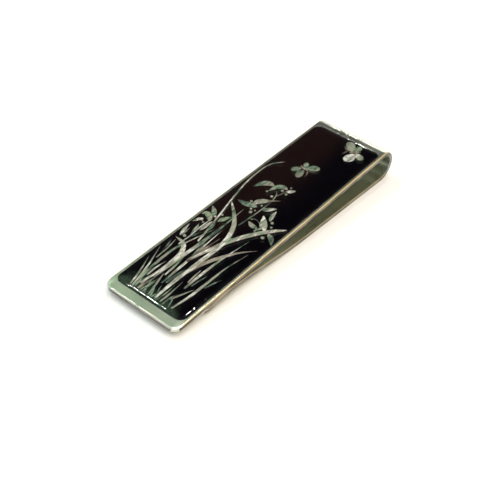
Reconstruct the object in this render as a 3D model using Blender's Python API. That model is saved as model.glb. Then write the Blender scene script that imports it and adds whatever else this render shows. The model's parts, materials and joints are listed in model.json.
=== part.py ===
"""Money clip: a polished spring-steel strip folded into a U, its front face inlaid with shell under resin.

One strip makes the front plate, the spring bend and the rear leg. The plate has a shallow tray
that holds an adhesive film, a black lacquered panel, slivers of shell glued on the panel, and a
clear resin dome cast over them. Metres, +Z up, +Y towards the bend, origin at the bottom centre.
The clip lies on its rear leg, and the front plate opens about the centre of the bend.
"""

import math

import bmesh
import bpy
from mathutils import Vector

mm = 0.001

# The steel strip
strip_width = 20.0 * mm
strip_thickness = 1.0 * mm
plate_length = 72.4 * mm  # from the near end to where the bend starts
bend_inner_radius = 3.0 * mm
mouth_height = 1.4 * mm  # underside of the plate's near end above the table
plate_corner_radius = 2.2 * mm  # the two near corners
near_bevel_width = 0.3 * mm
near_bevel_depth = 0.24 * mm
side_bevel_width = 0.22 * mm
side_bevel_depth = 0.16 * mm
edge_chamfer = 0.08 * mm  # broken edges of the bend and the leg
strip_gap = 0.3 * mm  # between the three stretches of the one strip

# The rear leg
leg_setback = 7.0 * mm  # its tip ends this far short of the plate's near end
crest_setback = 17.0 * mm  # where it rises to grip, from the plate's near end
leg_flat_length = 30.0 * mm  # the stretch that lies flat, from the bend's centre
crest_clearance = 0.1 * mm  # between the leg's crest and the closed plate
leg_corner_radius = 3.0 * mm
leg_corner_cut = 0.7  # share of that radius taken off each side where the tip ends
tip_turn = 1.45  # radians of a cosine that the leg follows from its crest to its tip

# The tray in the plate and what it holds
near_rim = 2.5 * mm
side_rim = 0.7 * mm
far_rim = 0.66 * mm
tray_depth = 0.6 * mm
tray_clearance = 0.03 * mm  # round the panel, between it and the tray's wall
panel_corner_radius = 1.9 * mm
least_corner_radius = 0.3 * mm  # where an inset would leave less
layer_gap = 0.02 * mm  # between one layer and the next
adhesive_thickness = 0.06 * mm
adhesive_inset = 0.4 * mm
panel_thickness = 0.4 * mm
shell_thickness = 0.06 * mm
shell_levels = 3  # crossing slivers lie one above the other
resin_lip = 0.2 * mm  # width of resin that touches the panel all round
resin_rise = 0.45 * mm  # top of the dome above the steel rim
resin_shoulder = 0.9 * mm  # width of its rounded edge
resin_cover = 0.05 * mm  # least resin above the highest sliver

# The sheet on which the slivers are drawn, in millimetres; it is fitted to the panel's field
drawing_half_width = 9.28
drawing_near = 2.5
drawing_far = 71.74
finest_width = 0.02  # a sliver narrower than this is drawn as its middle line

bend_outer_radius = bend_inner_radius + strip_thickness
half_width = strip_width / 2

# The plate's slope when closed, from the height at its near end
drop = strip_thickness + bend_inner_radius - mouth_height
reach = math.hypot(plate_length, bend_inner_radius)
plate_slope = math.atan2(bend_inner_radius, plate_length) + math.asin(drop / reach)

# Places along Y, first from the bend's centre, then from the middle of the whole clip
nearest = -plate_length * math.cos(plate_slope)
nearest -= (bend_outer_radius - near_bevel_depth) * math.sin(plate_slope)
bend_y = -(nearest + bend_outer_radius) / 2
bend_z = bend_outer_radius

# Heights in the plate's own frame, whose origin is the bend's centre
top_z = bend_outer_radius
under_z = bend_inner_radius
tray_z = top_z - tray_depth
adhesive_z = tray_z + layer_gap
panel_z = adhesive_z + adhesive_thickness + layer_gap
panel_top_z = panel_z + panel_thickness
resin_z = panel_top_z + layer_gap
shell_pitch = shell_thickness + layer_gap
pocket_z = panel_top_z + layer_gap + shell_levels * shell_pitch + resin_cover
resin_top_z = top_z + resin_rise

# The panel's edges in that frame
panel_half = half_width - side_rim
panel_near = -plate_length + near_rim
panel_far = -far_rim

for old in list(bpy.data.objects):
    bpy.data.objects.remove(old, do_unlink=True)


def material(name, colour, roughness, metallic=0.0):
    made = bpy.data.materials.new(name)
    made.use_nodes = True
    shader = made.node_tree.nodes["Principled BSDF"]
    shader.inputs["Base Color"].default_value = (*colour, 1.0)
    shader.inputs["Roughness"].default_value = roughness
    shader.inputs["Metallic"].default_value = metallic
    return made


def add_object(name, shape, made, parent=None):
    """A closed mesh becomes a named object, in its parent's frame where it has one."""
    bmesh.ops.recalc_face_normals(shape, faces=shape.faces)
    mesh = bpy.data.meshes.new(name)
    shape.to_mesh(mesh)
    shape.free()
    mesh.materials.append(made)
    obj = bpy.data.objects.new(name, mesh)
    bpy.context.scene.collection.objects.link(obj)
    obj.parent = parent
    return obj


def rounded_rectangle(half, near, far, radius, steps=6):
    """Corner points of a rectangle with four round corners, counter-clockwise."""
    points = []
    corners = (
        (half - radius, near + radius, -90),
        (half - radius, far - radius, 0),
        (-half + radius, far - radius, 90),
        (-half + radius, near + radius, 180),
    )
    for x, y, start in corners:
        for step in range(steps + 1):
            angle = math.radians(start + 90 * step / steps)
            points.append((x + radius * math.cos(angle), y + radius * math.sin(angle)))
    return points


def plate_outline(side_inset, near_inset, steps=7):
    """The plate seen from above: round near corners and a straight far edge."""
    half = half_width - side_inset
    near = -plate_length + near_inset
    radius = plate_corner_radius - min(side_inset, near_inset)
    points = [(half, 0.0), (-half, 0.0)]
    for side, start in ((-1, 180), (1, 270)):
        for step in range(steps + 1):
            angle = math.radians(start + 90 * step / steps)
            x = side * (half - radius) + radius * math.cos(angle)
            points.append((x, near + radius + radius * math.sin(angle)))
    return points


def loft(sections):
    """A closed shape through outlines of equal count, each given with its height."""
    shape = bmesh.new()
    loops = []
    for outline, height in sections:
        loops.append([shape.verts.new((x, y, height)) for x, y in outline])
    count = len(loops[0])
    for lower, upper in zip(loops, loops[1:]):
        for i in range(count):
            j = (i + 1) % count
            shape.faces.new((lower[i], lower[j], upper[j], upper[i]))
    shape.faces.new(reversed(loops[0]))
    shape.faces.new(loops[-1])
    return shape


def chamfered_section():
    """The strip's cross-section about its own middle, with broken edges."""
    half = strip_thickness / 2
    cut = edge_chamfer
    return [
        (half_width, -half + cut),
        (half_width, half - cut),
        (half_width - cut, half),
        (-half_width + cut, half),
        (-half_width, half - cut),
        (-half_width, -half + cut),
        (-half_width + cut, -half),
        (half_width - cut, -half),
    ]


def sweep_strip(stations):
    """The strip's section carried along stations of (y, z, angle of travel, narrowing)."""
    shape = bmesh.new()
    rings = []
    for y, z, angle, narrowing in stations:
        ring = []
        for x, height in chamfered_section():
            across = x - math.copysign(narrowing, x)
            ring.append(
                shape.verts.new(
                    (across, y - height * math.sin(angle), z + height * math.cos(angle))
                )
            )
        rings.append(ring)
    count = len(rings[0])
    for first, second in zip(rings, rings[1:]):
        for i in range(count):
            j = (i + 1) % count
            shape.faces.new((first[i], first[j], second[j], second[i]))
    shape.faces.new(reversed(rings[0]))
    shape.faces.new(rings[-1])
    return shape


# The plate's frame: its origin lies on the hinge axis, at the centre of the bend
plate_frame = bpy.data.objects.new("plate_frame", None)
bpy.context.scene.collection.objects.link(plate_frame)
plate_frame.location = (0.0, bend_y, bend_z)
plate_frame.rotation_euler = (plate_slope, 0.0, 0.0)

steel = material("polished_steel", (0.62, 0.60, 0.55), 0.16, 1.0)


def make_front_plate():
    """The front face of the strip, with a bevelled edge and the inlay's tray."""
    full = plate_outline(0.0, 0.0)
    worn = plate_outline(side_bevel_width, near_bevel_width)
    lower_edge = plate_outline(edge_chamfer, edge_chamfer)
    sections = [(lower_edge, under_z), (full, under_z + edge_chamfer)]
    shape = loft(sections + [(full, top_z), (worn, top_z)])
    shape.verts.ensure_lookup_table()
    first_of_bevel = 2 * len(full)
    for i, (_, y) in enumerate(full):
        # the bevel deepens round each near corner, from the side's depth to the near edge's
        share = min(max((plate_corner_radius - plate_length - y) / plate_corner_radius, 0.0), 1.0)
        depth = side_bevel_depth + (near_bevel_depth - side_bevel_depth) * share
        shape.verts[first_of_bevel + i].co.z = top_z - depth
    plate = add_object("front_plate", shape, steel, plate_frame)

    half = panel_half + tray_clearance
    near = panel_near - tray_clearance
    far = panel_far + tray_clearance
    outline = rounded_rectangle(half, near, far, panel_corner_radius + tray_clearance)
    cutter_shape = loft([(outline, tray_z), (outline, top_z + strip_thickness)])
    cutter = add_object("tray_cutter", cutter_shape, steel, plate_frame)
    cutter.hide_render = True
    cutter.display_type = "WIRE"
    cut = plate.modifiers.new("tray", "BOOLEAN")
    cut.operation = "DIFFERENCE"
    cut.object = cutter
    cut.solver = "EXACT"


def make_spring_bend(steps=22):
    """The half turn that springs: it carries the plate and closes the clip."""
    middle = bend_inner_radius + strip_thickness / 2
    start = math.pi / 2 + plate_slope - strip_gap / middle
    end = -math.pi / 2
    stations = []
    for step in range(steps + 1):
        angle = start + (end - start) * step / steps
        y = bend_y + middle * math.cos(angle)
        z = bend_z + middle * math.sin(angle)
        stations.append((y, z, angle - math.pi / 2, 0.0))
    add_object("spring_bend", sweep_strip(stations), steel)


def underside_height(y):
    """Height of the closed plate's underside above the table at y."""
    along = (y - bend_y + under_z * math.sin(plate_slope)) / math.cos(plate_slope)
    return bend_z + along * math.sin(plate_slope) + under_z * math.cos(plate_slope)


def make_rear_leg(flat_steps=2, rise_steps=14, tip_steps=12):
    """The hidden leg: flat on the table, then a crest that grips, then a flared tip."""
    near_y = bend_y - plate_length * math.cos(plate_slope)
    flat_y = bend_y - leg_flat_length
    crest_y = near_y + crest_setback
    tip_y = near_y + leg_setback

    def lift(y):
        """Share of the crest's height at y."""
        if y >= flat_y:
            return 0.0
        if y >= crest_y:
            return (1 - math.cos(math.pi * (flat_y - y) / (flat_y - crest_y))) / 2
        return math.cos(tip_turn * (crest_y - y) / (crest_y - tip_y))

    start_y = bend_y - strip_gap
    places = [start_y + (flat_y - start_y) * i / flat_steps for i in range(flat_steps)]
    places += [flat_y + (crest_y - flat_y) * i / rise_steps for i in range(rise_steps)]
    places += [crest_y + (tip_y - crest_y) * i / tip_steps for i in range(tip_steps + 1)]
    rooms = []
    for y in places:
        if lift(y) > 0.5:
            room = underside_height(y) - strip_thickness - crest_clearance
            rooms.append(room / lift(y))
    crest = min(rooms)

    stations = []
    probe = 0.01 * mm  # how far to each side the leg's slope is read
    for y in places:
        slope = math.atan2(crest * (lift(y + probe) - lift(y - probe)), 2 * probe)
        if y <= tip_y:
            slope = math.atan2(crest * (lift(y + probe) - lift(y)), probe)
        from_tip = y - tip_y
        narrowing = 0.0
        if from_tip < leg_corner_radius:
            side = leg_corner_radius - from_tip
            narrowing = leg_corner_radius - math.sqrt(leg_corner_radius**2 - side**2)
            narrowing = min(narrowing, leg_corner_cut * leg_corner_radius)
        height = strip_thickness / 2 + crest * lift(y)
        stations.append((y, height, slope, narrowing))
    add_object("rear_leg", sweep_strip(stations), steel)


def make_inlay(shoulder_steps=5):
    """Adhesive film, lacquered panel and resin dome, stacked in the tray."""
    film = material("adhesive", (0.75, 0.72, 0.60), 0.6)
    lacquer = material("black_lacquer", (0.012, 0.010, 0.013), 0.12)
    resin = material("clear_resin", (0.85, 0.87, 0.88), 0.05)

    film_outline = rounded_rectangle(
        panel_half - adhesive_inset,
        panel_near + adhesive_inset,
        panel_far - adhesive_inset,
        panel_corner_radius - adhesive_inset,
    )
    film_top = adhesive_z + adhesive_thickness
    film_shape = loft([(film_outline, adhesive_z), (film_outline, film_top)])
    add_object("inlay_adhesive", film_shape, film, plate_frame)

    outline = rounded_rectangle(panel_half, panel_near, panel_far, panel_corner_radius)
    panel_shape = loft([(outline, panel_z), (outline, panel_top_z)])
    add_object("lacquer_panel", panel_shape, lacquer, plate_frame)

    def inset_outline(inset):
        return rounded_rectangle(
            panel_half - inset,
            panel_near + inset,
            panel_far - inset,
            max(panel_corner_radius - inset, least_corner_radius),
        )

    pocket = inset_outline(resin_lip)
    sections = [(pocket, pocket_z), (pocket, resin_z), (outline, resin_z)]
    for step in range(shoulder_steps + 1):
        angle = math.pi / 2 * step / shoulder_steps
        inset = resin_shoulder * (1 - math.cos(angle))
        height = top_z + (resin_top_z - top_z) * math.sin(angle)
        sections.append((inset_outline(inset), height))
    add_object("resin_dome", loft(sections), resin, plate_frame)


def curve_point(points, share):
    """A point on a smooth curve through the given points, and its direction."""
    last = len(points) - 1
    place = min(share * last, last - 1e-9)
    i = int(place)
    t = place - i
    p1, p2 = Vector(points[i]), Vector(points[i + 1])
    p0 = Vector(points[i - 1]) if i > 0 else 2 * p1 - p2
    p3 = Vector(points[i + 2]) if i + 2 <= last else 2 * p2 - p1
    a = 2 * p1
    b = p2 - p0
    c = 2 * p0 - 5 * p1 + 4 * p2 - p3
    d = 3 * p1 - p0 - 3 * p2 + p3
    point = (a + b * t + c * t**2 + d * t**3) / 2
    direction = (b + 2 * c * t + 3 * d * t**2) / 2
    return point, direction.normalized()


# Each profile gives the share of a sliver's greatest width at a share of its length


def blade_width(share):
    """Grass: a firm root, widest below the middle, drawn out to a point."""
    root = 0.55
    swell = root + (1 - root) * math.sin(math.pi * min(share / 0.8, 1.0))
    taper = (1 - share**3) ** 0.8
    return swell * taper


def broad_width(share):
    """Broad grass: a slim root, full soon, and a late point."""
    root = 0.45
    swell = root + (1 - root) * math.sin(math.pi / 2 * min(share / 0.45, 1.0))
    taper = (1 - share**7) ** 0.9
    return swell * taper


def sickle_width(share):
    """A bent leaf: slim for half its length, full where it bends, then a point."""
    root = 0.38
    swell = root + (1 - root) * math.sin(math.pi / 2 * min(share / 0.68, 1.0)) ** 3
    taper = (1 - share**5) ** 0.9
    return swell * taper


def stem_width(share):
    """Stalk: even, with a short taper at its end."""
    end = 0.65
    taper = (1 - share**12) ** 0.5
    return (1 - (1 - end) * share) * taper


def leaf_width(share):
    """Leaf: pointed at both ends, fullest a little below the middle."""
    return math.sin(math.pi * share**0.85) ** 0.85


def wing_width(share):
    """Wing: narrow where it joins the body, broad and round outside."""
    root = 0.20
    swell = root + (1 - root) * math.sin(math.pi / 2 * min(share / 0.62, 1.0))
    rounding = (1 - share**5) ** 0.5
    return swell * rounding


def body_width(share):
    """Insect body: a spindle."""
    return math.sin(math.pi * share) ** 0.7


def sliver_outline(points, width, profile, stations):
    """Both edges of a sliver drawn along a curve, joined at its tip."""
    left, right = [], []
    for i in range(stations):
        share = i / stations
        point, direction = curve_point(points, share)
        across = Vector((-direction.y, direction.x)) * (width * profile(share) / 2)
        if across.length < finest_width:
            left.append(point)
            continue
        left.append(point + across)
        right.append(point - across)
    tip, _ = curve_point(points, 1.0)
    return left + [tip] + right[::-1]


def on_panel(point):
    """From the drawing's millimetres to the panel's own size and place."""
    x = point.x / drawing_half_width * panel_half
    share = (point.y - drawing_near) / (drawing_far - drawing_near)
    return x, panel_near + share * (panel_far - panel_near)


def make_sliver(name, level, points, width, profile, stations, made):
    """One sliver of shell, cut to its outline and laid at its level."""
    outline = [on_panel(p) for p in sliver_outline(points, width, profile, stations)]
    low = resin_z + level * shell_pitch
    shape = loft([(outline, low), (outline, low + shell_thickness)])
    add_object(name, shape, made, plate_frame)


def make_slivers():
    """The picture: a tuft of grass, a leafy sprig, a side sprig and two butterflies."""
    pale = material("pale_shell", (0.62, 0.68, 0.60), 0.25)
    rose = material("rose_shell", (0.72, 0.55, 0.55), 0.25)
    rose_blades = (8, 11, 23)
    profiles = {5: sickle_width, 10: broad_width, 12: broad_width}
    blade_stations, stem_stations = 7, 5  # for each span between two points
    leaf_stations, wing_stations, body_stations = 14, 12, 10  # for the whole length

    # level, greatest width, then points from root to tip
    blades = (
        (0, 0.45, (-5.7, 3.6), (-6.9, 7.6), (-8.5, 11.9)),
        (1, 0.55, (-5.0, 3.4), (-6.3, 8.6), (-8.7, 15.4)),
        (0, 0.60, (-4.8, 4.2), (-5.8, 9.5), (-6.0, 16.0), (-5.0, 21.0), (-3.5, 26.6)),
        (0, 0.32, (-7.0, 12.4), (-7.2, 16.0), (-7.7, 19.2)),
        (1, 1.25, (-4.3, 5.0), (-3.8, 10.0), (-3.7, 14.0), (-4.0, 16.8), (-5.6, 19.1), (-8.3, 19.6)),
        (0, 0.85, (-3.5, 8.0), (-3.2, 15.0), (-2.8, 23.0), (-2.7, 29.0), (-2.9, 36.0)),
        (0, 0.60, (-1.1, 7.8), (-1.3, 14.0), (-1.7, 21.0), (-2.0, 27.8)),
        (1, 0.80, (-1.3, 15.5), (-1.0, 20.5), (-0.6, 25.4)),
        (2, 0.50, (-2.0, 9.8), (-2.3, 13.5), (-2.9, 17.6)),
        (1, 1.05, (0.8, 4.0), (0.6, 11.0), (0.9, 23.5), (-0.6, 29.3), (-3.2, 32.8), (-6.9, 36.2)),
        (0, 0.90, (0.6, 12.5), (1.8, 17.6), (3.6, 21.8), (5.6, 25.0), (7.9, 27.5)),
        (2, 1.15, (-1.2, 16.5), (0.2, 21.8), (1.7, 26.2), (4.3, 31.1), (6.5, 34.1), (8.7, 36.4)),
        (2, 0.75, (-0.4, 8.3), (-0.1, 11.5), (0.5, 14.8)),
        (1, 0.60, (3.5, 9.6), (3.5, 15.0), (3.8, 21.0), (4.7, 28.6)),
        (0, 0.38, (2.9, 11.3), (2.7, 13.5), (2.6, 15.7)),
        (0, 0.34, (4.1, 11.0), (4.3, 13.0), (4.7, 15.2)),
        (1, 0.60, (5.2, 4.0), (5.8, 8.5), (6.0, 14.5), (6.2, 19.5), (7.1, 25.3)),
        (0, 0.38, (6.5, 12.3), (7.0, 14.4), (7.7, 16.3)),
        (0, 0.42, (3.3, 5.6), (4.2, 8.0), (5.2, 10.6)),
        (0, 0.42, (2.2, 4.0), (2.2, 7.0), (2.0, 10.8)),
        (0, 0.46, (-0.9, 3.6), (-1.6, 6.4), (-2.3, 8.9), (-2.6, 10.2)),
        (2, 0.42, (-4.8, 7.4), (-4.9, 10.0), (-4.6, 12.8)),
        (2, 0.70, (-3.6, 3.6), (-3.5, 5.6), (-2.9, 8.4)),
    )
    for number, (level, width, *points) in enumerate(blades, 1):
        made = rose if number in rose_blades else pale
        name = f"grass_blade_{number:02d}"
        stations = blade_stations * (len(points) - 1)
        profile = profiles.get(number, blade_width)
        make_sliver(name, level, points, width, profile, stations, made)

    # two rows of points where a stem is long
    stems = {
        "long_stem": (
            (2, 0.42, (-3.6, 21.5), (-4.6, 26.5), (-5.7, 31.0), (-7.2, 37.5), (-8.3, 43.0)),
            ((-8.6, 48.5), (-8.1, 52.0), (-6.1, 54.7)),
        ),
        "sprig_stem": (
            (0, 0.34, (-0.4, 30.9), (-0.2, 33.0), (0.1, 37.0), (0.2, 40.5), (0.0, 42.6)),
            ((-0.5, 44.3), (-1.3, 45.3)),
        ),
        "sprig_twig": ((0, 0.28, (0.4, 34.2), (1.2, 34.8), (2.5, 34.5), (3.6, 33.4)), ()),
        "side_stem": ((2, 0.30, (-6.1, 18.2), (-6.0, 22.0), (-6.2, 25.0), (-6.1, 28.0)), ()),
    }
    for name, ((level, width, *points), more) in stems.items():
        points += more
        stations = stem_stations * (len(points) - 1)
        make_sliver(name, level, points, width, stem_width, stations, pale)

    # level, greatest width, then points from the stalk to the leaf's tip
    sprig_leaves = (
        (0, 1.60, (-2.7, 46.3), (-4.2, 46.2), (-5.5, 45.1), (-6.3, 43.0)),
        (1, 1.35, (0.5, 47.1), (-1.0, 47.2), (-2.1, 46.0), (-2.7, 43.9)),
        (0, 1.00, (0.6, 46.4), (1.4, 47.2), (2.1, 48.0)),
        (1, 1.50, (-2.4, 38.2), (-2.0, 39.6), (-1.0, 40.8), (0.5, 41.9)),
        (2, 1.20, (0.3, 37.9), (1.4, 38.9), (2.8, 40.4)),
        (0, 1.55, (-1.0, 38.2), (-2.7, 37.8), (-4.2, 37.4), (-6.1, 37.4)),
        (0, 0.95, (4.0, 36.3), (3.4, 37.8), (3.1, 39.8)),
        (1, 1.60, (5.1, 33.1), (3.5, 34.8), (1.8, 36.9)),
        (0, 1.20, (3.3, 32.8), (1.9, 32.8), (0.4, 33.4)),
        (0, 1.25, (6.2, 33.0), (7.6, 32.2), (8.9, 30.6)),
    )
    side_leaves = (
        (0, 0.70, (-7.9, 20.5), (-8.4, 22.3), (-8.8, 24.5)),
        (0, 0.70, (-6.3, 22.2), (-6.7, 24.2), (-7.3, 26.0)),
        (1, 0.85, (-5.6, 24.2), (-5.6, 26.3), (-5.4, 28.2)),
        (0, 1.15, (-6.3, 29.5), (-7.4, 31.0), (-8.9, 32.2)),
        (1, 1.40, (-5.9, 27.7), (-7.0, 29.0), (-8.3, 29.4), (-8.9, 28.6)),
        (0, 0.80, (-7.6, 27.8), (-8.3, 26.8), (-8.9, 25.5)),
        (2, 1.10, (-4.5, 28.8), (-3.9, 30.4), (-2.9, 32.1)),
    )
    for kind, leaves in (("sprig_leaf", sprig_leaves), ("side_leaf", side_leaves)):
        for number, (level, width, *points) in enumerate(leaves, 1):
            name = f"{kind}_{number:02d}"
            make_sliver(name, level, points, width, leaf_width, leaf_stations, pale)

    # level, greatest width, then points from the body to the wing's outer edge
    near_wings = (
        (1, 2.00, (-1.1, 55.8), (0.2, 57.0), (1.65, 57.8)),
        (0, 1.25, (-1.5, 56.1), (-1.8, 57.0), (-2.2, 57.9)),
        (1, 1.65, (-1.9, 55.3), (-2.7, 54.4), (-3.5, 53.3)),
        (0, 1.75, (-1.1, 55.2), (-1.1, 53.7), (-0.7, 52.1)),
    )
    far_wings = (
        (1, 2.30, (3.5, 68.1), (2.2, 69.5), (0.8, 70.9)),
        (0, 1.60, (3.95, 68.6), (4.0, 70.0), (3.9, 71.35)),
        (1, 1.85, (4.5, 68.1), (5.8, 67.6), (7.15, 66.9)),
        (0, 2.60, (4.2, 67.7), (4.35, 66.0), (3.95, 64.15)),
    )
    for insect, wings in (("near", near_wings), ("far", far_wings)):
        for number, (level, width, *points) in enumerate(wings, 1):
            name = f"{insect}_butterfly_wing_{number}"
            make_sliver(name, level, points, width, wing_width, wing_stations, pale)
    near_body = ((-2.5, 56.0), (-1.4, 55.6), (-0.1, 55.4))
    far_body = ((3.2, 67.3), (4.2, 68.2), (5.2, 69.2))
    bodies = (("near", near_body, 0.42), ("far", far_body, 0.46))
    for insect, points, width in bodies:
        name = f"{insect}_butterfly_body"
        make_sliver(name, shell_levels - 1, points, width, body_width, body_stations, rose)


make_front_plate()
make_spring_bend()
make_rear_leg()
make_inlay()
make_slivers()
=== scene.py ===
"""A money clip of folded spring steel, inlaid with shell on black lacquer under clear resin."""

import json
import math

import bmesh
import bpy
from mathutils import Matrix, Vector


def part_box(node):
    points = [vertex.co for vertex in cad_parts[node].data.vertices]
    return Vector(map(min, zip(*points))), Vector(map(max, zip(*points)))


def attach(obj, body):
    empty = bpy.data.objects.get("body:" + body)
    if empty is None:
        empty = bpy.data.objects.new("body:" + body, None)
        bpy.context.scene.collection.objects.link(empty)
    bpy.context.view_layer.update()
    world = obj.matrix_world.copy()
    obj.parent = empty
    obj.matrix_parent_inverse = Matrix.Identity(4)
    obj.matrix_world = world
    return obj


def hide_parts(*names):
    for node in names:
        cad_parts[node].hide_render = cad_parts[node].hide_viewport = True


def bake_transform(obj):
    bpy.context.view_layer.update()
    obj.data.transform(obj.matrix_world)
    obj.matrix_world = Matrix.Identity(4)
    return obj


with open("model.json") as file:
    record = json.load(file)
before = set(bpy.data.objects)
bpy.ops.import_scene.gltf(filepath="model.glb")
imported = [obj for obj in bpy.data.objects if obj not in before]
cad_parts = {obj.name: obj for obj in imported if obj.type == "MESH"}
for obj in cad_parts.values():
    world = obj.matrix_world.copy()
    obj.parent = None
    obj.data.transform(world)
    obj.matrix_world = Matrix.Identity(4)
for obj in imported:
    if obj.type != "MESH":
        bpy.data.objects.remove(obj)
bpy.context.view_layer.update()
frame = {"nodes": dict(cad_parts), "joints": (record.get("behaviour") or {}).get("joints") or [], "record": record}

# ---------------------------------------------------------------- the steel strip: front plate
# The clip is one strip of stainless spring steel, cut with two round corners, polished, and folded
# into a U. Its front plate has a bright bevel along the near end and a milled tray for the inlay.

mm = 0.001
strip_half_width = 10.0 * mm
strip_thickness = 1.0 * mm
plate_length = 72.4 * mm
bend_inner_radius = 3.0 * mm
bend_outer_radius = bend_inner_radius + strip_thickness
mouth_height = 1.4 * mm
corner_radius = 2.2 * mm
near_bevel = (0.30 * mm, 0.24 * mm)  # width seen from above, then depth
side_bevel = (0.22 * mm, 0.16 * mm)
broken_edge = 0.06 * mm
worn_edge = 0.03 * mm
near_rim, side_rim, far_rim = 2.5 * mm, 0.7 * mm, 0.66 * mm
tray_depth = 0.6 * mm
panel_radius = 1.9 * mm
corner_steps = 12
tray_clearance = 0.03 * mm
same_place = 0.0001 * mm  # points closer than this are one
square_corner = 0.00001 * mm  # the points of a corner without a radius, soon made one
square_on = 0.9  # a face looks a given way when the cosine is larger than this

hinge = Vector(frame["joints"][0]["pos_m"])
drop = bend_outer_radius - mouth_height
slope = math.atan2(bend_inner_radius, plate_length)
slope += math.asin(drop / math.hypot(plate_length, bend_inner_radius))
plate_frame = Matrix.Translation(hinge) @ Matrix.Rotation(slope, 4, "X")


class Wire:
    """An output in a node tree. Sums and products of wires and numbers add Math nodes."""

    def __init__(self, tree, socket=None):
        self.tree = tree
        self.socket = socket

    def add(self, kind, settings=None, values=None, out=0):
        """Any node: its settings, or a ramp's stops, then values or wires for its sockets."""
        node = self.tree.nodes.new("ShaderNode" + kind)
        for key, value in (settings or {}).items():
            if key == "stops":
                ramp = node.color_ramp.elements
                while len(ramp) < len(value):
                    ramp.new(0.5)
                for element, (place, colour) in zip(ramp, value):
                    element.position = place
                    element.color = (*colour, 1.0)
            else:
                setattr(node, key, value)
        for key, value in (values or {}).items():
            if isinstance(value, Wire):
                self.tree.links.new(value.socket, node.inputs[key])
            else:
                node.inputs[key].default_value = value
        return Wire(self.tree, node.outputs[out])

    def math(self, operation, a, b=0.0):
        return self.add("Math", {"operation": operation}, {0: a, 1: b})

    def __add__(self, other):
        return self.math("ADD", self, other)

    __radd__ = __add__

    def __mul__(self, other):
        return self.math("MULTIPLY", self, other)

    __rmul__ = __mul__

    def __sub__(self, other):
        return self.math("SUBTRACT", self, other)

    def __rsub__(self, other):
        return self.math("SUBTRACT", other, self)

    def between(self, low, high):
        """0 below low, 1 above high, smooth in between."""
        settings = {"interpolation_type": "SMOOTHSTEP"}
        return self.add("MapRange", settings, {"Value": self, "From Min": low, "From Max": high})

    def noise(self, place, scale, detail=2.0, stretch=(1, 1, 1), roughness=0.5):
        """Value noise on a place, with the place stretched first."""
        moved = self.add("VectorMath", {"operation": "MULTIPLY"}, {0: place, 1: stretch})
        values = {"Vector": moved, "Scale": scale, "Detail": detail, "Roughness": roughness}
        return self.add("TexNoise", None, values)

    def blend(self, share, first, second):
        """A colour between two colours."""
        values = {0: share, 6: first, 7: second}
        return self.add("Mix", {"data_type": "RGBA"}, values, out=2)


def new_material(name):
    """A material, its tree as a wire, its Principled shader and its output."""
    made = bpy.data.materials.new(name)
    made.use_nodes = True
    tree = made.node_tree
    return made, Wire(tree), tree.nodes["Principled BSDF"], tree.nodes["Material Output"]


def link(wire, shader, name):
    """A wire into one of a shader's sockets."""
    wire.tree.links.new(wire.socket, shader.inputs[name])


def steel_material():
    """Satin-polished stainless: fine lines along the strip and faint smears."""
    made, wire, shader, _ = new_material("satin_stainless")
    place = wire.add("TexCoord", out=3)
    lines = wire.noise(place, 900.0, 3.0, (5.0, 0.12, 5.0))
    smear = wire.noise(place, 160.0, 2.0)
    tint = smear.between(0.35, 0.7)
    colour = wire.blend(tint, (0.60, 0.63, 0.53, 1), (0.70, 0.70, 0.59, 1))
    link(colour, shader, "Base Color")
    link(0.245 + 0.02 * lines + 0.05 * smear, shader, "Roughness")
    bump = wire.add("Bump", None, {"Height": lines, "Strength": 0.01, "Distance": 0.00002})
    link(bump, shader, "Normal")
    shader.inputs["Metallic"].default_value = 1.0
    return made


def painted_shade_edge_material():
    """The strip's cut edges: rougher than its faces, with a grain; their dark colour is painted shade and painted
    reflection.
    """
    made, wire, shader, _ = new_material("cut_edge_painted_shade")
    place = wire.add("TexCoord", out=3)
    grain = wire.noise(place, 1100.0, 3.0, (0.4, 0.4, 4.0))
    patch = wire.noise(place, 210.0, 2.0).between(0.35, 0.65)
    # Painted shade: these faces are made dark to stand for the shade and dark reflection they show.
    colour = wire.blend(patch, (0.10, 0.09, 0.09, 1), (0.26, 0.23, 0.20, 1))
    link(colour, shader, "Base Color")
    link(0.26 + 0.16 * grain, shader, "Roughness")
    bump = wire.add("Bump", None, {"Height": grain, "Strength": 0.20, "Distance": 0.00002})
    link(bump, shader, "Normal")
    shader.inputs["Metallic"].default_value = 1.0
    return made


def paint_shade_on_cut_edges(piece):
    """The strip's sides, and its near end, take the rough cut-edge steel, painted dark as shade."""
    piece.data.materials.append(cut_edge_painted_shade)
    for polygon in piece.data.polygons:
        side = abs(polygon.normal.x) > square_on and abs(polygon.center.x) > outside_tray
        end = polygon.normal.y < -square_on and polygon.center.y < -plate_length / 3
        if side or end:
            polygon.material_index = 1


steel = steel_material()
# The cut edges' steel, painted dark as shade.
cut_edge_painted_shade = painted_shade_edge_material()


def outline(shape, half, near, far, near_corner, far_corner, height):
    """A flat face with round corners at a height, its near end at near and its far end at far."""
    known = set(shape.faces)
    square = bmesh.ops.create_grid(shape, x_segments=1, y_segments=1, size=1.0)["verts"]
    for vert in square:
        vert.co = (half * vert.co.x, far if vert.co.y > 0 else near, height)
    middle = (near + far) / 2
    near_pair = [v for v in square if v.co.y < middle]
    far_pair = [v for v in square if v.co.y > middle]
    for pair, radius in ((near_pair, near_corner), (far_pair, far_corner)):
        bmesh.ops.bevel(
            shape,
            geom=pair,
            affect="VERTICES",
            offset=max(radius, square_corner),
            offset_type="OFFSET",
            segments=corner_steps,
            profile=0.5,
            material=-1,
        )
    return (set(shape.faces) - known).pop()


def stack(shape, faces):
    """Walls between faces laid one after the other; the first and last stay as caps."""
    loops = [list(face.edges) for face in faces]
    bmesh.ops.delete(shape, geom=faces[1:-1], context="FACES_ONLY")
    for lower, upper in zip(loops, loops[1:]):
        bmesh.ops.bridge_loops(shape, edges=lower + upper)


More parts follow.
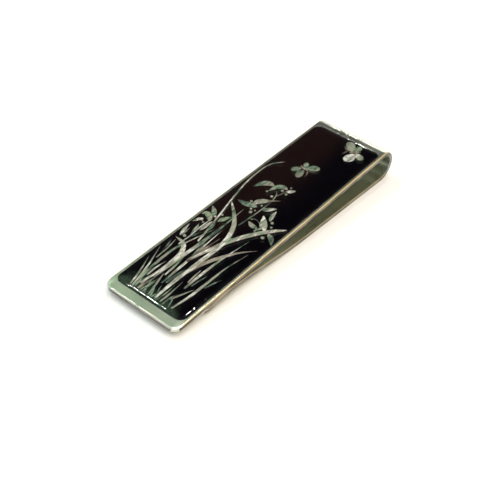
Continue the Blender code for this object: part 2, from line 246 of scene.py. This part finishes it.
def finished(name, shape, material, to_world=None, smooth=9):
    """A shape becomes a piece: placed in its mesh, facing out, smooth between its sharp edges."""
    bmesh.ops.remove_doubles(shape, verts=shape.verts, dist=same_place)
    bmesh.ops.recalc_face_normals(shape, faces=shape.faces)
    if shape.calc_volume(signed=True) < 0:
        bmesh.ops.reverse_faces(shape, faces=shape.faces)
    if to_world is not None:
        bmesh.ops.transform(shape, matrix=to_world, verts=shape.verts)
    mesh = bpy.data.meshes.new(name)
    shape.to_mesh(mesh)
    shape.free()
    mesh.materials.append(material)
    mesh.shade_smooth()
    mesh.set_sharp_from_angle(angle=math.radians(smooth))
    piece = bpy.data.objects.new(name, mesh)
    bpy.context.scene.collection.objects.link(piece)
    return piece


def break_edges(shape, width, least, joined_at=None):
    """A small round on every edge sharper than least degrees, but not where a strip is joined."""

    def joined(edge):
        ends = [abs(vert.co.y - joined_at) for vert in edge.verts]
        return max(ends) < same_place

    bmesh.ops.remove_doubles(shape, verts=shape.verts, dist=same_place)
    bmesh.ops.recalc_face_normals(shape, faces=shape.faces)
    angle = math.radians(least)
    sharp = [e for e in shape.edges if e.is_manifold and e.calc_face_angle() > angle]
    if joined_at is not None:
        sharp = [e for e in sharp if not joined(e)]
    bmesh.ops.bevel(
        shape,
        geom=sharp,
        affect="EDGES",
        offset=width,
        offset_type="OFFSET",
        segments=2,
        profile=0.5,
        clamp_overlap=True,
        material=-1,
    )


top, under = bend_outer_radius, bend_inner_radius
panel_half = strip_half_width - side_rim
outside_tray = panel_half * 1.02
panel_near = near_rim - plate_length
panel_far = -far_rim

plate = bmesh.new()
half, near = strip_half_width, -plate_length
foot = outline(plate, half - broken_edge, near + broken_edge, 0, corner_radius, 0, under)
low = outline(plate, half, near, 0, corner_radius, 0, under + broken_edge)
girdle = outline(plate, half, near, 0, corner_radius, 0, top)
for vert in girdle.verts:
    share = (corner_radius - plate_length - vert.co.y) / corner_radius
    share = min(max(share, 0.0), 1.0)
    vert.co.z -= side_bevel[1] + (near_bevel[1] - side_bevel[1]) * share
crown = outline(plate, half - side_bevel[0], near + near_bevel[0], 0, corner_radius, 0, top)
wall = {
    "half": panel_half + tray_clearance,
    "near": panel_near - tray_clearance,
    "far": panel_far + tray_clearance,
    "near_corner": panel_radius,
    "far_corner": panel_radius,
}
lip = outline(plate, height=top, **wall)
floor_of_tray = outline(plate, height=top - tray_depth, **wall)
stack(plate, [foot, low, girdle, crown, lip, floor_of_tray])
break_edges(plate, worn_edge, least=20, joined_at=0.0)
front = finished("front_strip", plate, steel, plate_frame)
paint_shade_on_cut_edges(front)
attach(front, "front")
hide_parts("front_plate")

# ---------------------------------------------------------------- the steel strip: spring bend
# The far end of the strip is rolled over a mandrel into a half turn. It is the spring: when notes
# are pushed in, it opens by a few degrees and closes on them. The strip's edges stay bevelled.

bend_steps = 96
bend = bmesh.new()
section = bmesh.ops.create_grid(bend, x_segments=1, y_segments=1, size=1.0)["verts"]
for vert in section:
    vert.co = (strip_half_width * vert.co.x, 0.0, top if vert.co.y > 0 else under)
show_corners = [v for v in section if v.co.z > (top + under) / 2]
back_corners = [v for v in section if v not in show_corners]


def cut_corners(shape, corners, width, segments=1):
    """A flat cut, or a round, across corners; gives back the new points."""
    return bmesh.ops.bevel(
        shape,
        geom=corners,
        affect="VERTICES",
        offset=width,
        offset_type="OFFSET",
        segments=segments,
        profile=0.5,
        material=-1,
    )["verts"]


cut_corners(bend, back_corners, broken_edge)
chamfer = cut_corners(bend, show_corners, side_bevel[0])
for vert in chamfer:
    if vert.co.z < top - same_place:
        vert.co.z = top - side_bevel[1]
cut_corners(bend, chamfer, worn_edge, 2)
start = bend.faces[:][0]
turn = math.pi + slope
loop = list(start.edges)
bmesh.ops.delete(bend, geom=[start], context="FACES_ONLY")
bmesh.ops.spin(
    bend,
    geom=loop + list(bend.verts),
    cent=(0, 0, 0),
    axis=(1, 0, 0),
    angle=-turn,
    steps=bend_steps,
    use_merge=False,
    use_duplicate=False,
)
bmesh.ops.holes_fill(bend, edges=[e for e in bend.edges if e.is_boundary])
spring = finished("spring_strip", bend, steel, plate_frame)
paint_shade_on_cut_edges(spring)
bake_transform(spring)
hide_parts("spring_bend")

# ---------------------------------------------------------------- the steel strip: rear leg
# The hidden end of the strip. It lies flat behind the notes, rises to a crest that presses them
# against the front plate, and flares away at its round-cornered tip so that they slip in.

leg_setback = 7.0 * mm
crest_setback = 17.0 * mm
leg_flat_length = 30.0 * mm
leg_corner_radius = 3.0 * mm
leg_stations = 60
tip_turn = 1.45

near_y = hinge.y - plate_length * math.cos(slope)
tip_y = near_y + leg_setback
crest_y = near_y + crest_setback
flat_y = hinge.y - leg_flat_length
crest_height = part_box("rear_leg")[1].z - strip_thickness


def leg_lift(y):
    """Height of the leg's underside above the table at y."""
    if y >= flat_y:
        return 0.0
    if y >= crest_y:
        wave = math.pi * (flat_y - y) / (flat_y - crest_y)
        return crest_height * (1 - math.cos(wave)) / 2
    return crest_height * math.cos(tip_turn * (crest_y - y) / (crest_y - tip_y))


leg = bmesh.new()
leg_plan = {"far": hinge.y, "near_corner": leg_corner_radius, "far_corner": 0}
wide, slim = strip_half_width, strip_half_width - side_bevel[0]
back = outline(leg, slim, tip_y + side_bevel[0], height=0.0, **leg_plan)
waist = outline(leg, wide, tip_y, height=side_bevel[1], **leg_plan)
rise = outline(leg, wide, tip_y, height=strip_thickness - broken_edge, **leg_plan)
slim = strip_half_width - broken_edge
face = outline(leg, slim, tip_y + broken_edge, height=strip_thickness, **leg_plan)
stack(leg, [back, waist, rise, face])
for station in range(1, leg_stations):
    cut_y = tip_y + (flat_y - tip_y) * station / (leg_stations - 1)
    bmesh.ops.bisect_plane(
        leg,
        geom=leg.verts[:] + leg.edges[:] + leg.faces[:],
        plane_co=(0, cut_y, 0),
        plane_no=(0, 1, 0),
        dist=same_place,
    )
probe = 0.01 * mm
for vert in leg.verts:
    y = max(vert.co.y, tip_y)
    rising = (leg_lift(y + probe) - leg_lift(y)) / probe
    angle = math.atan(rising)
    offset = vert.co.z - strip_thickness / 2
    centre = strip_thickness / 2 + leg_lift(y)
    vert.co.y -= offset * math.sin(angle)
    vert.co.z = centre + offset * math.cos(angle)
rear = finished("rear_strip", leg, steel)
paint_shade_on_cut_edges(rear)
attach(rear, "base")
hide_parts("rear_leg")

# ---------------------------------------------------------------- the panel and its adhesive
# A thin plate under many coats of black lacquer, rubbed to a mirror. A film of adhesive holds it in
# the tray. Where the coats are thinner, on the left of its far half, the black is a warm brown.

warm_from_left = (-4.0 * mm, 5.0 * mm)  # full at the first place, gone at the second
warm_from_near = (-30.0 * mm, -6.0 * mm)  # none at the first place, full at the second
cloud_reach = 10.0 * mm

def lacquer_material():
    """Black, warmed by a brown that fades out in soft clouds."""
    made, wire, shader, _ = new_material("black_lacquer_gloss")
    place = wire.add("TexCoord", out=3)
    across = wire.add("SeparateXYZ", None, {0: place}, out=0)
    length = wire.add("SeparateXYZ", None, {0: place}, out=1)
    cloud = (wire.noise(place, 55.0, 1.0, (1.6, 0.35, 1.0)) - 0.5) * cloud_reach
    left = 1.0 - (across + cloud).between(*warm_from_left)
    warmth = left * (length + cloud).between(*warm_from_near)
    colour = wire.blend(warmth, (0.0009, 0.0006, 0.0020, 1), (0.0130, 0.0054, 0.0046, 1))
    link(colour, shader, "Base Color")
    link(0.22 + 0.08 * wire.noise(place, 700.0, 2.0), shader, "Roughness")
    shader.inputs["Specular IOR Level"].default_value = 0.0
    return made


def adhesive_material():
    """Cloudy, yellowed film."""
    made, wire, shader, _ = new_material("adhesive_film")
    place = wire.add("TexCoord", out=3)
    flow = wire.noise(place, 300.0, 3.0)
    colour = wire.blend(flow, (0.70, 0.66, 0.50, 1), (0.80, 0.77, 0.66, 1))
    link(colour, shader, "Base Color")
    link(0.5 + 0.2 * flow, shader, "Roughness")
    return made


for node_name, node_material in (
    ("lacquer_panel", lacquer_material()),
    ("inlay_adhesive", adhesive_material()),
):
    frame["nodes"][node_name].data.materials.clear()
    frame["nodes"][node_name].data.materials.append(node_material)

# ---------------------------------------------------------------- the shell slivers
# Each blade, leaf and wing is sawn from a sheet of mother-of-pearl and glued to the lacquer. Every
# sliver comes from another part of the sheet, so its green, silver and rose start afresh.


def shell_material(name, stops):
    """Nacre: bands of colour across the sheet, fine growth lines, a satin lustre."""
    made, wire, shader, _ = new_material(name)
    place = wire.add("TexCoord", out=3)
    sheet = wire.add("Attribute", {"attribute_name": "sheet"}, out=2)
    shift = wire.add("CombineXYZ", None, {0: sheet * 0.37, 1: sheet * 0.19, 2: sheet * 0.11})
    moved = wire.add("VectorMath", {"operation": "ADD"}, {0: place, 1: shift})
    bands = wire.noise(moved, 420.0, 3.0, (1.5, 0.55, 1.0), 0.65)
    fine = wire.noise(moved, 1700.0, 3.0, (2.4, 0.35, 1.0), 0.65)
    tone = wire.math("FRACT", sheet * 3.7)
    mixed = bands + (fine - 0.5) * 0.45 + (tone - 0.5) * 0.20
    colour = wire.add("ValToRGB", {"stops": stops}, {"Fac": mixed.between(0.30, 0.72)})
    furrow = wire.blend(0.50, colour, (0.03, 0.04, 0.035, 1))
    growth = wire.noise(moved, 900.0, 2.0, (3.2, 0.22, 1.0)).between(0.34, 0.52)
    link(wire.blend(growth, furrow, colour), shader, "Base Color")
    link(0.20 + 0.22 * fine, shader, "Roughness")
    link(0.10 + 0.30 * bands, shader, "Metallic")
    bump = wire.add("Bump", None, {"Height": fine, "Strength": 0.35, "Distance": 0.00002})
    link(bump, shader, "Normal")
    shader.inputs["Thin Film Thickness"].default_value = 380.0
    shader.inputs["Thin Film IOR"].default_value = 1.55
    return made


pale_stops = (
    (0.00, (0.06, 0.08, 0.07)),
    (0.20, (0.16, 0.26, 0.18)),
    (0.38, (0.33, 0.44, 0.31)),
    (0.56, (0.48, 0.48, 0.36)),
    (0.76, (0.42, 0.36, 0.33)),
    (1.00, (0.98, 1.00, 0.92)),
)
rose_stops = (
    (0.00, (0.12, 0.08, 0.07)),
    (0.30, (0.36, 0.30, 0.23)),
    (0.55, (0.48, 0.39, 0.33)),
    (0.78, (0.40, 0.41, 0.31)),
    (1.00, (1.00, 0.68, 0.74)),
)
pale_shell = shell_material("pale_mother_of_pearl", pale_stops)
rose_shell = shell_material("rose_mother_of_pearl", rose_stops)
sliver_edge = 0.012 * mm
seam = 0.001 * mm  # a CAD solid's points are one when they are closer than this
flat_enough = math.radians(0.5)
golden_share = 0.618  # spreads the slivers evenly over the sheet
sheet_length = 9.0


def set_sheet(piece, value):
    """Which part of the sheet a sliver was sawn from."""
    layer = piece.data.attributes.new("sheet", "FLOAT", "POINT")
    layer.data.foreach_set("value", [value] * len(piece.data.vertices))


records = {row["node"]: row["material_slot"] for row in frame["record"]["subparts"]}
slivers = sorted(n for n, s in records.items() if s in ("pale_shell", "rose_shell"))
for number, node_name in enumerate(slivers):
    sliver = bmesh.new()
    sliver.from_mesh(frame["nodes"][node_name].data)
    bmesh.ops.remove_doubles(sliver, verts=sliver.verts, dist=seam)
    corners, sides = sliver.verts, sliver.edges
    bmesh.ops.dissolve_limit(sliver, angle_limit=flat_enough, verts=corners, edges=sides)
    break_edges(sliver, sliver_edge, least=60)
    rosy = records[node_name] == "rose_shell"
    piece = finished("shell_" + node_name, sliver, rose_shell if rosy else pale_shell)
    set_sheet(piece, golden_share * (number + 1) % 1.0 * sheet_length)
    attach(piece, "front")
    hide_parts(node_name)

# ---------------------------------------------------------------- small slivers and berries
# Narrow offcuts fill the root of the tuft, hair-thin strips are feelers and stalks, and the berries
# are little discs punched from the same sheet. They lie on top of the larger slivers.

top_level = 0.155 * mm  # above the plate's rim
thin_sheet = 0.03 * mm
berry_sides = 24
sliver_steps = 14
finest_width = 0.02

# All in mm. A sliver: its width, then where it starts, bends and ends, across the plate and along it
# from the near end. A berry: its radius, then its middle.
root_blades = (
    (0.30, (-4.4, 3.5), (-4.6, 5.5), (-4.3, 7.6)),
    (0.34, (-2.9, 3.5), (-2.6, 6.0), (-2.1, 8.8)),
    (0.30, (-2.2, 3.4), (-2.3, 5.6), (-1.9, 7.6)),
    (0.34, (0.1, 3.4), (0.3, 5.2), (0.6, 7.2)),
    (0.30, (1.4, 3.6), (1.7, 6.0), (1.5, 9.0)),
    (0.36, (3.2, 3.6), (3.2, 5.6), (3.8, 7.6)),
    (0.30, (4.6, 3.7), (4.1, 5.2), (3.4, 6.6)),
    (0.34, (-1.6, 3.4), (-2.9, 6.3), (-3.5, 9.6)),
    (0.30, (1.2, 3.5), (0.2, 5.3), (-0.5, 7.4)),
    (0.30, (-0.2, 3.5), (-0.7, 5.0), (-1.5, 6.6)),
    (0.34, (-8.2, 18.0), (-7.7, 16.4), (-7.3, 14.2)),
    (0.40, (-7.5, 20.6), (-7.6, 22.0), (-7.7, 23.4)),
    (0.50, (-5.7, 21.6), (-5.3, 22.8), (-4.9, 23.9)),
    (0.75, (-4.7, 28.0), (-4.3, 26.6), (-4.1, 24.8)),
    (0.85, (-2.7, 24.2), (-2.6, 27.0), (-2.8, 30.3)),
    (0.30, (-1.5, 17.0), (-2.1, 21.5), (-2.6, 25.0)),
    (0.60, (3.4, 32.0), (4.0, 33.0), (3.9, 34.2)),
)
stalks = (
    (0.34, (0.0, 43.7), (0.4, 45.0), (0.6, 46.6)),
    (0.55, (-0.5, 41.1), (0.6, 42.0), (1.8, 43.0)),
    (0.34, (0.0, 55.1), (0.45, 54.3), (0.6, 53.0)),
    (0.36, (0.2, 55.4), (1.0, 55.6), (1.9, 56.0)),
    (0.40, (-1.9, 55.4), (-2.2, 55.7), (-2.6, 56.1)),
    (0.38, (3.0, 67.9), (2.0, 67.9), (0.8, 68.7)),
    (0.38, (2.6, 67.4), (2.4, 66.6), (2.2, 65.7)),
)
berries = (
    (0.36, -0.2, 46.0),
    (0.33, 1.25, 45.5),
    (0.24, 0.8, 48.0),
    (0.34, -0.75, 42.9),
    (0.30, -3.2, 38.7),
    (0.24, -0.5, 39.0),
    (0.25, -1.7, 36.7),
    (0.40, -1.05, 35.8),
    (0.22, -0.6, 36.8),
    (0.34, 4.9, 36.0),
    (0.27, 5.6, 34.8),
    (0.27, 3.5, 31.7),
    (0.40, 6.2, 31.1),
    (0.34, -5.2, 31.1),
    (0.30, -6.0, 29.7),
    (0.24, -7.4, 27.0),
    (0.28, -6.7, 26.6),
    (0.38, -6.9, 20.9),
    (0.30, -2.7, 43.6),
)


def along(points, share):
    """A point on a smooth curve through three points, and its direction."""
    first, middle, last = (Vector(p) for p in points)
    control = 2 * middle - (first + last) / 2
    place = first * (1 - share) ** 2 + control * 2 * share * (1 - share) + last * share**2
    direction = (control - first) * (1 - share) + (last - control) * share
    return place, direction.normalized()


def thin_sliver(shape, points, width):
    """A narrow pointed strip: a row of squares drawn along its curve, then given a thickness."""
    grid = {"x_segments": 1, "y_segments": sliver_steps, "size": 1.0}
    strip = bmesh.ops.create_grid(shape, **grid)["verts"]
    for vert in strip:
        share = (vert.co.y + 1) / 2
        place, direction = along(points, share)
        across = Vector((-direction.y, direction.x))
        swell = (0.55 + 0.45 * math.sin(math.pi * min(share * 1.3, 1.0))) * (1 - share**3)
        place += across * (vert.co.x * max(width * swell, finest_width) / 2)
        vert.co = (place.x * mm, place.y * mm - plate_length, top + top_level)
    faces = list({f for v in strip for f in v.link_faces})
    raised = bmesh.ops.extrude_face_region(shape, geom=faces, use_keep_orig=True)["geom"]
    verts = [g for g in raised if isinstance(g, bmesh.types.BMVert)]
    bmesh.ops.translate(shape, verts=verts, vec=(0, 0, thin_sheet))


for name, rows, material, sheet_place in (
    ("shell_root_slivers", root_blades, pale_shell, 11.9),
    ("shell_feelers", stalks, rose_shell, 4.9),
):
    group = bmesh.new()
    for width, *points in rows:
        thin_sliver(group, points, width)
    piece = finished(name, group, material, plate_frame)
    set_sheet(piece, sheet_place)
    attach(piece, "front")

discs = bmesh.new()
for radius, x, u in berries:
    at = Matrix.Translation((x * mm, u * mm - plate_length, top + top_level))
    disc = {"cap_ends": True, "segments": berry_sides, "radius": radius * mm, "matrix": at}
    rim = bmesh.ops.create_circle(discs, **disc)["verts"]
    base = rim[0].link_faces[0]
    lifted = bmesh.ops.extrude_face_region(discs, geom=[base], use_keep_orig=True)["geom"]
    verts = [g for g in lifted if isinstance(g, bmesh.types.BMVert)]
    bmesh.ops.translate(discs, verts=verts, vec=(0, 0, thin_sheet))
break_edges(discs, sliver_edge, least=60)
piece = finished("shell_berries", discs, pale_shell, plate_frame)
set_sheet(piece, 5.3)
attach(piece, "front")

# ---------------------------------------------------------------- the resin dome
# Clear resin is poured over the panel and stops at its rim by surface tension, which leaves a low
# dome with a full round shoulder. It lets the picture through and mirrors the room at its edges.

resin_low = top - 0.08 * mm
resin_edge = top + 0.01 * mm
resin_rise = 0.43 * mm
meniscus = 1.25 * mm  # how fast the surface levels out, measured in from its edge
shoulder_width = 6.0 * mm
shoulder_steps = 40
corner_growth = 0.3  # how fast the corners' radius grows inwards
roundest = 0.9  # the largest corner, as a share of half the width
inner_ring = 0.02 * mm  # keeps the flat middle's shading apart from the shoulder's


def resin_material():
    """The outer skin: clear, with a mirror share that grows towards grazing light."""
    made, wire, shader, output = new_material("clear_resin_gloss")
    place = wire.add("TexCoord", out=3)
    shader.inputs["Metallic"].default_value = 1.0
    shader.inputs["Base Color"].default_value = (1.0, 1.0, 1.0, 1.0)
    link(0.02 + 0.05 * wire.noise(place, 240.0, 3.0).between(0.45, 0.75), shader, "Roughness")
    ripple = wire.noise(place, 1400.0, 1.0, (1.0, 0.6, 0.3))
    bump = wire.add("Bump", None, {"Height": ripple, "Strength": 0.25, "Distance": 0.00010})
    link(bump, shader, "Normal")
    clear = wire.add("BsdfTransparent", None, {"Color": (0.985, 0.985, 0.975, 1)})
    share = wire.add("Fresnel", None, {"IOR": 1.4})
    mirror = Wire(wire.tree, shader.outputs[0])
    skin = wire.add("MixShader", None, {0: share, 1: clear, 2: mirror})
    wire.tree.links.new(skin.socket, output.inputs["Surface"])
    return made


def bonded_material():
    """The resin's underside, wetted onto the panel, so that nothing is mirrored there."""
    made, wire, _, output = new_material("bonded_resin")
    clear = wire.add("BsdfTransparent", None, {"Color": (1.0, 1.0, 1.0, 1)})
    wire.tree.links.new(clear.socket, output.inputs["Surface"])
    return made


dome = bmesh.new()
layers = []
level = 1 - math.exp(-shoulder_width / meniscus)
insets = [0.0] + [shoulder_width * (n / shoulder_steps) ** 2 for n in range(shoulder_steps + 1)]
for number, inset in enumerate(insets):
    share = (1 - math.exp(-inset / meniscus)) / level
    height = resin_low if number == 0 else resin_edge + resin_rise * share
    corner = min(panel_radius + inset * corner_growth, (panel_half - inset) * roundest)
    plan = {"near_corner": corner, "far_corner": corner}
    near, far = panel_near + inset, panel_far - inset
    layers.append(outline(dome, panel_half - inset, near, far, height=height, **plan))
inset += inner_ring
near, far = panel_near + inset, panel_far - inset
layers.append(outline(dome, panel_half - inset, near, far, height=height, **plan))
stack(dome, layers)
resin = finished("resin_lens", dome, resin_material(), plate_frame, smooth=60)
resin.data.materials.append(bonded_material())
down = plate_frame.to_3x3() @ Vector((0, 0, -1))
for polygon in resin.data.polygons:
    if polygon.normal.dot(down) > square_on:
        polygon.material_index = 1
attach(resin, "front")
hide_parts("resin_dome")

# ---------------------------------------------------------------- the studio
# White paper under one large soft lamp. Three small lamps draw the thin lights on the dome's edge.
# The room is pale, with a dark corner that the black mirrors. None of it belongs to the clip.

paper_reach = 1.5
paper_drop = Vector((0, 0, -0.05 * mm))
sweep = bmesh.new()
bmesh.ops.create_grid(sweep, x_segments=8, y_segments=8, size=paper_reach)
bmesh.ops.translate(sweep, verts=sweep.verts, vec=paper_drop)


def paper_material():
    """Matt white with a trace of fibre."""
    made, wire, shader, _ = new_material("white_paper")
    place = wire.add("TexCoord", out=3)
    fibre = wire.noise(place, 900.0, 2.0)
    colour = wire.blend(fibre, (0.86, 0.86, 0.86, 1), (0.89, 0.89, 0.885, 1))
    link(colour, shader, "Base Color")
    shader.inputs["Roughness"].default_value = 0.9
    return made


table = finished("paper_sweep", sweep, paper_material())


def soft_lamp(name, place, aim, size, power, colour=(1.0, 1.0, 1.0)):
    """A round lamp, its size across in metres, turned towards its aim."""
    lamp = bpy.data.lights.new(name, "AREA")
    lamp.shape = "DISK"
    lamp.size = size
    lamp.energy = power
    lamp.color = colour
    holder = bpy.data.objects.new(name, lamp)
    holder.location = place
    direction = Vector(aim) - Vector(place)
    holder.rotation_euler = direction.to_track_quat("-Z", "Y").to_euler()
    bpy.context.scene.collection.objects.link(holder)


soft_lamp("left_lamp", (-0.312, -0.006, 0.515), (0, -0.038, 0), 0.03, 0.4)
soft_lamp("key_lamp", (0.160, -0.080, 0.520), (0, -0.010, 0), 0.50, 1.6, (1.0, 0.99, 0.96))
soft_lamp("top_lamp", (-0.080, 0.190, 0.560), (0, -0.030, 0), 0.045, 0.5)
soft_lamp("back_lamp", (-0.240, 0.560, 0.175), (0, 0.030, 0), 0.02, 0.1)

world = bpy.data.worlds.new("pale_room")
world.use_nodes = True
bpy.context.scene.world = world
room = Wire(world.node_tree)
sky = room.add("TexCoord")
dark_wall = Vector((-0.49, 0.52, 0.70)).normalized()
warm_wall = Vector((0.55, 0.50, 0.66)).normalized()
green_wall = Vector((-0.62, 0.04, 0.78)).normalized()
far_wall = Vector((-0.24, 0.88, 0.40)).normalized()


def facing(direction, wide, narrow):
    """1 where the room is seen within narrow degrees of a direction, 0 beyond wide degrees."""
    dot = room.add("VectorMath", {"operation": "DOT_PRODUCT"}, {0: sky, 1: direction}, out=1)
    return dot.between(math.cos(math.radians(wide)), math.cos(math.radians(narrow)))


pale = (0.80, 0.82, 0.84, 1)
walls = room.blend(facing(warm_wall, 46, 14), pale, (1.25, 0.88, 0.38, 1))
walls = room.blend(facing(dark_wall, 42, 20), walls, (0.045, 0.04, 0.05, 1))
walls = room.blend(facing(green_wall, 22, 9), walls, (1.00, 1.60, 1.00, 1))
walls = room.blend(facing(far_wall, 14, 6), walls, (0.30, 0.25, 0.18, 1))
background = world.node_tree.nodes["Background"]
world.node_tree.links.new(walls.socket, background.inputs["Color"])

camera_place = Vector((0.0898, -0.1236, 0.1243))
camera_aim = Vector((0.00617, -0.01132, 0.00407))
camera_roll = math.radians(4.57)
camera = bpy.data.cameras.new("camera")
camera.lens = 63.13
camera.clip_start = 0.01
tripod = bpy.data.objects.new("camera", camera)
turned = (camera_aim - camera_place).to_track_quat("-Z", "Y").to_matrix().to_4x4()
turned @= Matrix.Rotation(camera_roll, 4, "Z")
tripod.matrix_world = Matrix.Translation(camera_place) @ turned
bpy.context.scene.collection.objects.link(tripod)
bpy.context.scene.camera = tripod
bpy.context.scene.view_settings.view_transform = "Standard"
